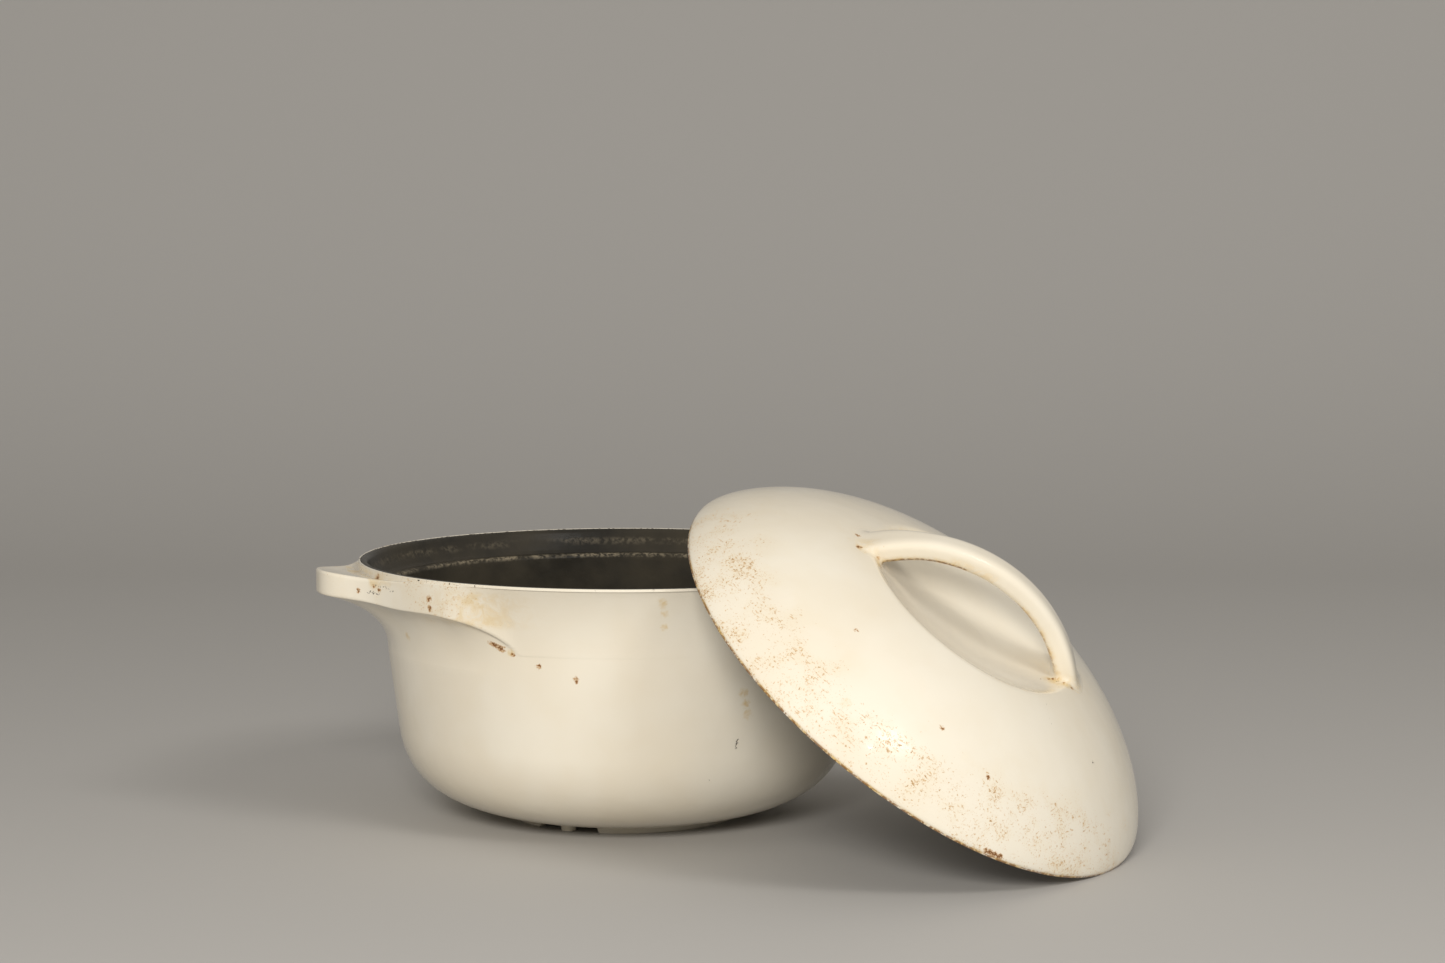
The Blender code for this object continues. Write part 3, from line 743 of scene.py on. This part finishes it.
def white_enamel(name, rust_marks=(), dark_marks=(), stain_marks=()):
    """Worn off-white enamel with a thick gloss.

    The masks specks, grime and chips say where it is speckled, stained and chipped to the iron. Rust, dark
    and stain marks are spots of their own, each with a centre and a radius.
    """
    n = Nodes(name)
    place = n.attribute("place").outputs["Vector"]
    specks = n.attribute("specks").outputs["Fac"]
    grime = n.attribute("grime").outputs["Fac"]
    chips = n.attribute("chips").outputs["Fac"]

    tone = n.noise(place, 14.0, 3.0).outputs["Fac"]
    color = n.mix(n.step(tone, 0.35, 0.65), CREAM, CREAM_PALE)

    # A warm haze where specks gather.
    clumps = n.noise(place, 70.0, 3.0, 0.6).outputs["Fac"]
    fine = n.noise(place, 480.0, 4.0, 0.62, 0.4).outputs["Fac"]
    haze = n.math("MULTIPLY", n.step(clumps, 0.42, 0.66), n.math("MULTIPLY", specks, 0.15))
    color = n.mix(haze, color, HAZE)

    # Specks: round dots and short strokes, tan with a brown middle.
    dots = n.noise(place, 950.0, 4.0, 0.6, 1.0).outputs["Fac"]
    long_x = n.noise(n.vector("MULTIPLY", place, (0.30, 1.0, 1.0)), 1250.0, 3.0, 0.55, 0.5).outputs["Fac"]
    long_y = n.noise(n.vector("MULTIPLY", place, (1.0, 0.35, 1.0)), 1150.0, 3.0, 0.55, 0.5).outputs["Fac"]
    strokes = n.math("MAXIMUM", dots, n.math("MAXIMUM", long_x, long_y))
    gathered = n.math("ADD", strokes, n.math("MULTIPLY", n.math("SUBTRACT", clumps, 0.5), 0.34))
    limit = n.math("SUBTRACT", 0.845, n.math("MULTIPLY", specks, 0.22))
    tan = n.step(gathered, limit, n.math("ADD", limit, 0.045))
    color = n.mix(n.math("MULTIPLY", tan, 0.70), color, TAN)
    limit = n.math("ADD", limit, 0.08)
    brown = n.step(gathered, limit, n.math("ADD", limit, 0.04))
    color = n.mix(n.math("MULTIPLY", brown, 0.52), color, BROWN)

    # Grime: yellow where the mask is low, rust too where it is high.
    streaks = n.noise(place, 160.0, 4.0, 0.65, 0.6).outputs["Fac"]
    grimy = n.math("MULTIPLY", grime, n.step(streaks, 0.36, 0.62))
    color = n.mix(n.math("MULTIPLY", grimy, 0.85, clamp=True), color, YELLOW)
    deep = n.math("MULTIPLY", n.step(grime, 0.55, 1.0), n.step(fine, 0.40, 0.54))
    color = n.mix(n.math("MULTIPLY", deep, 0.85), color, RUST)

    # Marks with a place of their own.
    wobble = n.noise(place, 700.0, 3.0, 0.6)
    shift = n.vector("SUBTRACT", wobble.outputs["Color"], (0.5, 0.5, 0.5))
    moved = n.vector("ADD", place, n.vector("MULTIPLY", shift, WOBBLE))
    if stain_marks:
        stain = n.step(n.nearest(moved, stain_marks), *STAIN_SIZE)
        stain = n.math("MULTIPLY", stain, n.step(streaks, 0.30, 0.60))
        color = n.mix(n.math("MULTIPLY", stain, 0.6), color, YELLOW)
    spots = None
    if rust_marks:
        near = n.nearest(moved, rust_marks)
        color = n.mix(n.math("MULTIPLY", n.step(near, *HALO_SIZE), 0.75), color, OCHRE)
        spots = n.step(near, *CORE_SIZE)
        color = n.mix(spots, color, RUST)
    if dark_marks:
        black = n.step(n.nearest(moved, dark_marks), *DASH_SIZE)
        color = n.mix(black, color, DARK)
        spots = black if spots is None else n.math("MAXIMUM", spots, black)

    # Chips down to the iron.
    chipped = n.math("ADD", fine, n.math("MULTIPLY", chips, 0.30))
    chipped = n.math("MULTIPLY", n.step(chipped, 0.82, 0.86), n.step(chips, 0.02, 0.2))
    color = n.mix(chipped, color, DARK)
    n.link(color, n.shader.inputs["Base Color"])

    worn = n.math("ADD", n.math("MULTIPLY", tan, 0.22), n.math("MULTIPLY", brown, 0.3))
    worn = n.math("ADD", worn, n.math("MULTIPLY", n.math("MAXIMUM", grimy, chipped), 0.35))
    hazy = n.math("MULTIPLY", n.step(n.noise(place, 40.0, 3.0).outputs["Fac"], 0.4, 0.7), 0.07)
    gloss = n.math("ADD", n.math("ADD", hazy, GLOSS), worn, clamp=True)
    n.link(gloss, n.shader.inputs["Roughness"])

    # A slow ripple of the glaze, and pits where it is gone.
    ripple = n.noise(place, 55.0, 2.0).outputs["Fac"]
    normal = n.bump(ripple, 0.0006, 0.35)
    pits = chipped if spots is None else n.math("MAXIMUM", chipped, spots)
    pits = n.math("MAXIMUM", pits, n.math("MULTIPLY", brown, 0.5))
    normal = n.bump(n.math("SUBTRACT", 1.0, pits), 0.0003, 0.6, normal)
    n.link(normal, n.shader.inputs["Normal"])
    n.shader.inputs["IOR"].default_value = 1.52
    n.shader.inputs["Coat Weight"].default_value = 0.25
    n.shader.inputs["Coat Roughness"].default_value = 0.06
    return n.material


def black_enamel(name, pale_marks=()):
    """Dusty black enamel with a worn, paler ledge and faint pale marks."""
    n = Nodes(name)
    place = n.attribute("place").outputs["Vector"]
    wear = n.attribute("wear").outputs["Fac"]
    dust = n.attribute("dust").outputs["Fac"]
    cloud = n.noise(place, 24.0, 4.0, 0.6).outputs["Fac"]
    grain = n.noise(place, 520.0, 4.0, 0.6).outputs["Fac"]
    color = n.mix(n.step(cloud, 0.35, 0.70), BLACK, BLACK_PALE)
    color = n.mix(n.math("MULTIPLY", dust, n.step(cloud, 0.2, 0.8)), color, DUST)
    patches = n.noise(place, 60.0, 3.0).outputs["Fac"]
    broken = n.math("MULTIPLY", n.step(grain, 0.40, 0.62), n.step(patches, 0.36, 0.58))
    color = n.mix(n.math("MULTIPLY", wear, broken, clamp=True), color, WORN)
    # Faint pale marks at the given places, broken up by the grain.
    if pale_marks:
        shift = n.vector("MULTIPLY", n.noise(place, 300.0).outputs["Color"], PALE_MARK_WOBBLE)
        near = n.nearest(n.vector("ADD", place, shift), pale_marks)
        pale_mark = n.math("MULTIPLY", n.step(near, 1.0, 0.3), n.step(grain, 0.35, 0.6))
        color = n.mix(n.math("MULTIPLY", pale_mark, 0.7), color, PALE_MARK)
    n.link(color, n.shader.inputs["Base Color"])
    rough = n.math("ADD", BLACK_GLOSS, n.math("MULTIPLY", n.step(cloud, 0.3, 0.7), 0.18))
    n.link(n.math("ADD", rough, n.math("MULTIPLY", wear, 0.25), clamp=True), n.shader.inputs["Roughness"])
    normal = n.bump(n.noise(place, 90.0, 3.0).outputs["Fac"], 0.0006, 0.4)
    n.link(n.bump(grain, 0.00015, 0.35, normal), n.shader.inputs["Normal"])
    return n.material


# ---- Where the wear lies -------------------------------------------------------------------


def polar(point):
    """Distance from the Z axis, and azimuth in degrees."""
    return np.hypot(point[:, 0], point[:, 1]), np.degrees(np.arctan2(point[:, 1], point[:, 0]))


def between(value, low, high, soft):
    """1 between two bounds, falling off over a soft width on each side."""
    return smoothstep(low - soft, low, value) * smoothstep(high + soft, high, value)


def bump_at(value, middle, width):
    """1 at the middle, falling off on both sides like a bell."""
    return np.exp(-(((value - middle) / width) ** 2))


def wear_pot(piece):
    """Specks and stains on the lugs' faces, grime behind the lugs, chips on the rim and its black crest."""
    point = places(piece)
    radius, azimuth = polar(point)
    depth = HEIGHT - point[:, 2]
    from_lug = np.degrees(lug_angle(np.radians(azimuth)))
    face = between(depth, 0.0015, 0.018, 0.004) * smoothstep(60, 30, from_lug)
    rim = smoothstep(0.0045, 0.001, depth)
    stained = face * bump_at(from_lug, 38, 12)
    specks = 0.20 + 0.38 * face + 0.45 * stained + 0.15 * rim
    store(piece, "specks", specks)
    crease = bump_at(depth, 0.0045, 0.0022) * smoothstep(24, 8, from_lug) * (radius < RIM + 0.006)
    streak = between(depth, 0.006, 0.017, 0.004) * bump_at(from_lug, 42, 9)
    store(piece, "grime", np.clip(0.75 * crease + 0.50 * streak, 0, 1))
    edge = smoothstep(0.0026, 0.0010, depth)
    crest = smoothstep(RIM - 0.0005, RIM - 0.0011, radius) * (depth < 0.0010)
    store(piece, "chips", np.maximum(edge * 0.55, 1.8 * crest))


def wear_lid(piece):
    """Specks along the lid's lower side, a faint yellow-brown tint just inside the dish's lip, grime round
    the bar's roots, rust on its edge.
    """
    point = places(piece)
    radius, azimuth = polar(point)
    share = radius / LID_RADIUS
    band = smoothstep(0.70, 0.95, share)
    side = between(azimuth, -142, -12, 28)
    specks = 0.10 + band * (0.30 + 0.70 * side)
    # A faint yellow-brown tint in a narrow ring just inside the dish's lip.
    lip = bump_at(radius, DISH_RADIUS - 0.0020, 0.0018) * (point[:, 2] > 0.030)
    rim = smoothstep(0.0016, 0.0007, point[:, 2]) * (radius > LID_RADIUS - 0.001)
    root = np.zeros(len(point))
    for sign in (-1, 1):
        x, y = np.array((math.cos(BAR_ANGLE), math.sin(BAR_ANGLE))) * DISH_RADIUS * sign
        root = np.maximum(root, bump_at(np.hypot(point[:, 0] - x, point[:, 1] - y), 0, 0.010))
    store(piece, "specks", np.clip(specks * (radius > DISH_RADIUS) + 0.12 + 0.3 * root, 0, 1))
    store(piece, "grime", np.clip(0.30 * lip + 0.95 * rim + 0.30 * root, 0, 1))
    store(piece, "chips", np.zeros(len(point)))


def wear_bar(piece):
    """Grime along the near lower edge, a yellow stain on the near side and rust at both roots."""
    point = places(piece)
    turn = np.array(Matrix.Rotation(BAR_ANGLE, 3, "Z"))
    local = point @ turn
    centre_z = BAR_HEIGHT - BAR_RADIUS
    angle = np.degrees(np.arctan2(local[:, 0], local[:, 2] - centre_z))
    out = np.hypot(local[:, 0], local[:, 2] - centre_z) - BAR_RADIUS
    near = smoothstep(0.001, -0.004, local[:, 1])
    under = near * bump_at(out, -0.0041, 0.0018)
    line = under * (1.5 * between(angle, -42, -14, 4) + 0.8 * between(angle, 12, 40, 6))
    stain = near * bump_at(out, -0.0020, 0.0022) * between(angle, -17, -2, 4)
    ends = smoothstep(41, 50, np.abs(angle)) * near
    store(piece, "specks", np.clip(0.25 + 0.4 * ends, 0, 1))
    store(piece, "grime", np.clip(np.maximum(line, 0.54 * stain) + 0.45 * ends, 0, 1))
    store(piece, "chips", np.zeros(len(point)))


def wear_bore(piece):
    """The ledge's edge and a line above it worn pale, dust down to below the ledge."""
    point = places(piece)
    radius, _ = polar(point)
    depth = HEIGHT - point[:, 2]
    ledge_radius = RIM - RIM_WIDTH - LEDGE_MOUTH - LEDGE_WIDTH
    ledge = bump_at(depth, LEDGE_DEPTH, 0.0012) * bump_at(radius, ledge_radius, 0.0016)
    upper = bump_at(depth, LEDGE_DEPTH * 0.5, 0.0011) * 0.35
    store(piece, "wear", np.clip(ledge + upper, 0, 1))
    store(piece, "dust", np.clip(between(depth, 0.001, 0.030, 0.02) * 0.8, 0, 1))


def wear_lid_bore(piece):
    """Pale wear at the seat and dust near the edge."""
    point = places(piece)
    radius, _ = polar(point)
    store(piece, "wear", 0.6 * smoothstep(0.006, 0.001, point[:, 2]))
    store(piece, "dust", 0.25 + 0.4 * smoothstep(0.08, 0.11, radius))


def turned(azimuth_degrees, radius, height):
    angle = math.radians(azimuth_degrees)
    return (radius * math.cos(angle), radius * math.sin(angle), height)


def on_wall(azimuth_degrees, height):
    """A point on the pot's plain outer wall."""
    return turned(azimuth_degrees, float(flare_radius(height)), height)


def on_face(azimuth_degrees, height):
    """A point on the outer face of a lug."""
    return turned(azimuth_degrees, RIM + lug_reach(lug_angle(math.radians(azimuth_degrees))), height)


def on_dome(azimuth_degrees, radius):
    """A point on the lid's dome, in the lid's frame."""
    return turned(azimuth_degrees, radius, float(dome_height(radius)))


def at_root(sign, along, across):
    """A point on the lid beside a root of the bar, along and across the bar from the lid's axis."""
    x, y = sign * along, across
    c, s = math.cos(BAR_ANGLE), math.sin(BAR_ANGLE)
    radius = math.hypot(x, y)
    top = float(dome_height(radius))
    dish = float(dome_height(DISH_RADIUS)) - dish_drop(radius)
    return (x * c - y * s, x * s + y * c, min(top, dish))


def dash(start, end, radius, count=8):
    """A row of small marks that reads as a short stroke."""
    a, b = np.array(start), np.array(end)
    return [(tuple(a + (b - a) * t), radius) for t in np.linspace(0, 1, count)]


def pot_marks():
    """Rust, dark and stain marks of the pot: (centre, radius) each, at depths below the rim and heights."""
    rust = [(on_face(-149.5, HEIGHT - 0.0083), 0.0011), (on_face(-149.3, HEIGHT - 0.0122), 0.0011),
            (on_face(-166.5, HEIGHT - 0.0060), 0.0008), (on_face(-165.0, HEIGHT - 0.0072), 0.0008),
            (on_face(-170.0, HEIGHT - 0.0085), 0.0008), (on_face(-129.0, HEIGHT - 0.0150), 0.0009),
            (on_wall(-125.2, 0.0828), 0.0008), (on_wall(-116.5, 0.0776), 0.0009)]
    rust += dash(on_wall(-137.0, 0.0925), on_wall(-134.0, 0.0895), 0.0009)
    rust += [(turned(-169.5, RIM + 0.0010, HEIGHT - 0.0030), 0.0014), (on_wall(-131.5, 0.0875), 0.0007)]
    dark = dash(on_wall(-77.4, 0.0490), on_wall(-77.7, 0.0450), 0.0004)
    dark += dash(on_face(-166.0, HEIGHT - 0.0050), on_face(-161.0, HEIGHT - 0.0070), 0.0004)
    dark += dash(on_face(-168.0, HEIGHT - 0.0085), on_face(-165.0, HEIGHT - 0.0090), 0.0004)
    dark += dash(on_wall(-86.5, 0.0310), on_wall(-83.0, 0.0318), 0.0004)
    stain = [(on_wall(-97.5, 0.1120), 0.0035), (on_wall(-97.0, 0.1070), 0.0028)]
    stain += [(on_wall(-96.7, 0.1010), 0.0022), (on_wall(-76.5, 0.0700), 0.0030)]
    stain += [(on_wall(-75.6, 0.0650), 0.0026), (on_wall(-75.0, 0.0600), 0.0030)]
    stain += [(on_wall(-166.0, 0.0900), 0.0030), (on_wall(-132.0, 0.0880), 0.0028)]
    return rust, dark, stain


def lid_marks():
    """The same for the lid, in its own frame. The first is the chip on its lower edge."""
    edge = LID_RADIUS - 0.0002
    rust = dash(on_dome(-41.5, edge), on_dome(-37.5, edge), 0.0009, 10)
    rust += [(at_root(1, 0.0430, -0.0105), 0.0006), (at_root(1, 0.0490, -0.0118), 0.0008)]
    rust += [(at_root(1, 0.0535, -0.0125), 0.0008), (at_root(1, 0.0450, -0.0095), 0.0008)]
    rust += [(at_root(1, 0.0400, -0.0120), 0.0005), (at_root(1, 0.0470, -0.0090), 0.0008)]
    rust += [(at_root(-1, 0.0490, -0.0090), 0.0012), (at_root(-1, 0.0580, -0.0085), 0.0010)]
    rust += [(at_root(-1, 0.0590, 0.0020), 0.0009), (at_root(-1, 0.0460, -0.0110), 0.0006)]
    rust += [(on_dome(-62.0, 0.0905), 0.0009), (on_dome(-46.0, 0.0985), 0.0008)]
    rust += [(on_dome(-98.0, 0.0820), 0.0007)]
    dark = [(on_dome(-1.5, 0.0840), 0.0006), (at_root(1, 0.0465, -0.0112), 0.0007)]
    dark += [(at_root(-1, 0.0485, -0.0082), 0.0008)]
    dark += dash(on_dome(-16.3, 0.0575), on_dome(-19.0, 0.0680), 0.0002, 9)
    stain = [(at_root(1, 0.0450, -0.0115), 0.0060), (at_root(1, 0.0500, -0.0130), 0.0040)]
    stain += [(at_root(-1, 0.0470, -0.0130), 0.0040), (on_dome(-84, 0.1060), 0.0030)]
    return rust, dark, stain


# ---- Pieces --------------------------------------------------------------------------------


def finish_piece(piece, body, material, slot, *nodes):
    """Puts the piece on its body, with its material, in place of CAD nodes if any are named. The slot
    argument is not used.
    """
    piece.data.materials.append(material)
    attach(piece, body)
    if nodes:
        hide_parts(*nodes)


def make_pot():
    rust, dark, stain = pot_marks()
    enamel = white_enamel("worn white enamel", rust, dark, stain)
    casting = closed_grid("pot_shell", pot_rows(), FOOT_HEIGHT + POT_FLOOR - ENAMEL - GAP, FOOT_HEIGHT)
    wear_pot(casting)
    finish_piece(casting, "pot", enamel, "white_enamel", "pot_casting")
    make_nubs(enamel)

    line = resampled(bore_line(), BORE_POINTS)
    edge = RIM - RIM_WIDTH + RIM_BLACK
    line[:, 1] -= LIP_DROP * smoothstep(edge - LIP_WIDTH, edge, line[:, 0])
    lip = np.array([(edge, HEIGHT - ENAMEL), (edge - LIP_WIDTH, HEIGHT - ENAMEL)])
    back = offset(resampled(bore_line(), COAT_POINTS), np.full(COAT_POINTS, -ENAMEL))
    back = back[back[:, 1] < HEIGHT - 2 * ENAMEL]
    section = np.concatenate([line[::-1], lip, back])
    bore = closed_grid("pot_bore", turned_rows(section, POT_ROWS), FOOT_HEIGHT + POT_FLOOR,
                       FOOT_HEIGHT + POT_FLOOR - ENAMEL)
    wear_bore(bore)
    # Faint pale marks along a diagonal line high on the bore's far side.
    pale_marks = dash((0.0785, 0.079, HEIGHT - 0.0055), (-0.098, 0.050, HEIGHT - 0.0065), 0.0010, 3)
    finish_piece(bore, "pot", black_enamel("dusty black enamel", pale_marks), "black_enamel", "pot_lining")


def make_nubs(enamel):
    """Small rounded lugs that stand in the gaps of the foot ring."""
    inside = NUB_RADIUS * 0.5
    section = rounded([(inside, 0.0), (NUB_RADIUS, 0.0), (NUB_RADIUS * NUB_HEAD, NUB_HEIGHT),
                       (inside, NUB_HEIGHT)], NUB_ROUNDS)
    for i in range(FOOT_ARCS):
        azimuth = FOOT_GAP_AT + 2 * math.pi * i / FOOT_ARCS
        radius = FOOT_RADIUS - FOOT_WIDTH / 2
        place = Matrix.Translation((radius * math.cos(azimuth), radius * math.sin(azimuth), 0))
        nub = closed_grid(f"foot_nub_{i + 1}", turned_rows(section, NUB_ROWS), 0.0, NUB_HEIGHT, place)
        for name, value in (("specks", 0.3), ("grime", 0.1), ("chips", 0.2)):
            store(nub, name, np.full(len(nub.data.vertices), value))
        finish_piece(nub, "pot", enamel, "white_enamel")


def make_lid():
    rust, dark, stain = lid_marks()
    enamel = white_enamel("worn white enamel lid", rust, dark, stain)
    top = lid_top_line()
    under = lid_under_line(0.0)
    section = np.concatenate([top, under[1:]])
    shell = closed_grid("lid_shell", turned_rows(section, LID_ROWS), float(top[0, 1]),
                        float(under[-1, 1]), LID_MATRIX)
    wear_lid(shell)
    finish_piece(shell, "lid", enamel, "white_enamel", "lid_casting")
    bar = bar_piece()
    wear_bar(bar)
    finish_piece(bar, "lid", enamel, "white_enamel")

    near, far = lid_under_line(GAP * 0.2), lid_under_line(GAP + ENAMEL)
    for line in (near, far):
        line[:, 1] = np.maximum(line[:, 1], COAT_RISE)
    section = np.concatenate([near[::-1], far[1:]])
    bore = closed_grid("lid_bore", turned_rows(section, LID_ROWS), float(near[-1, 1]),
                       float(far[-1, 1]), LID_MATRIX)
    wear_lid_bore(bore)
    finish_piece(bore, "lid", black_enamel("dusty black enamel lid"), "black_enamel", "lid_lining")


# ---- Floor, light and camera ---------------------------------------------------------------

CAMERA_PLACE = Vector((-0.43004, -1.56017, 0.30773))
CAMERA_HEADING = math.radians(-17.0)
CAMERA_PITCH = math.radians(5.4572)
CAMERA_ROLL = math.radians(0.0755)
LENS = 88.56
SENSOR = 36.0

FLOOR_FRONT = -2.6
FLOOR_BACK = 1.6
FLOOR_REACH = 4.0  # to each side
FLOOR_RISE = 2.2
FLOOR_BEND = 0.7

WORLD_STRENGTH = 0.32
LIGHT_TARGET = Vector((0.04, -0.05, 0.07))
LIGHT_DISTANCE = 2.2
WARM = (1.0, 0.97, 0.93)


def make_floor():
    """A pale floor that sweeps up into a backdrop."""
    outline = rounded([(FLOOR_FRONT, 0.0), (FLOOR_BACK, 0.0), (FLOOR_BACK, FLOOR_RISE)], (FLOOR_BEND,), 24)
    points = [(x, y, z) for y, z in outline for x in (-FLOOR_REACH, FLOOR_REACH)]
    faces = [(2 * i, 2 * i + 1, 2 * i + 3, 2 * i + 2) for i in range(len(outline) - 1)]
    mesh = bpy.data.meshes.new("floor")
    mesh.from_pydata(points, [], faces)
    mesh.shade_smooth()
    floor = bpy.data.objects.new("floor", mesh)
    floor.rotation_euler.z = CAMERA_HEADING
    bpy.context.scene.collection.objects.link(floor)
    n = Nodes("pale floor")
    n.shader.inputs["Base Color"].default_value = FLOOR_GREY
    n.shader.inputs["Roughness"].default_value = 0.75
    mesh.materials.append(n.material)


def area_light(name, azimuth, elevation, width, height, power, color):
    """An area light that faces the part from a direction in degrees."""
    a, e = math.radians(azimuth), math.radians(elevation)
    away = Vector((math.cos(a) * math.cos(e), math.sin(a) * math.cos(e), math.sin(e)))
    data = bpy.data.lights.new(name, "AREA")
    data.shape = "RECTANGLE"
    data.size, data.size_y = width, height
    data.energy = power
    data.color = color
    light = bpy.data.objects.new(name, data)
    light.location = LIGHT_TARGET + away * LIGHT_DISTANCE
    light.rotation_mode = "QUATERNION"
    light.rotation_quaternion = (-away).to_track_quat("-Z", "Y")
    bpy.context.scene.collection.objects.link(light)
    return light


def make_light():
    """Soft light from the front and the side, and a window and a glint that show in the glaze."""
    world = bpy.data.worlds.new("studio")
    world.use_nodes = True
    background = world.node_tree.nodes["Background"]
    background.inputs["Color"].default_value = rgb(*WARM)
    background.inputs["Strength"].default_value = WORLD_STRENGTH
    bpy.context.scene.world = world
    front = area_light("front", -114, 22, 0.7, 0.5, 31, WARM)
    side = area_light("side", -66, 40, 0.8, 0.6, 9.5, WARM)
    for light in (front, side):
        light.visible_glossy = False
    area_light("window", -64, 37, 0.36, 0.26, 2.4, (1.0, 0.98, 0.95))
    area_light("glint", -79, 33, 0.06, 0.03, 0.3, (0.92, 0.96, 1.0))
    bpy.context.scene.view_settings.view_transform = "Standard"


def make_camera():
    data = bpy.data.cameras.new("camera")
    data.lens = LENS
    data.sensor_width = SENSOR
    data.clip_start = 0.01
    camera = bpy.data.objects.new("camera", data)
    bpy.context.scene.collection.objects.link(camera)
    turn = Matrix.Rotation(CAMERA_HEADING, 4, "Z")
    turn = turn @ Matrix.Rotation(math.pi / 2 - CAMERA_PITCH, 4, "X")
    turn = turn @ Matrix.Rotation(CAMERA_ROLL, 4, "Z")
    camera.matrix_world = Matrix.Translation(CAMERA_PLACE) @ turn
    bpy.context.scene.camera = camera


make_camera()
make_light()
make_floor()
make_pot()
make_lid()

bpy.context.view_layer.update()
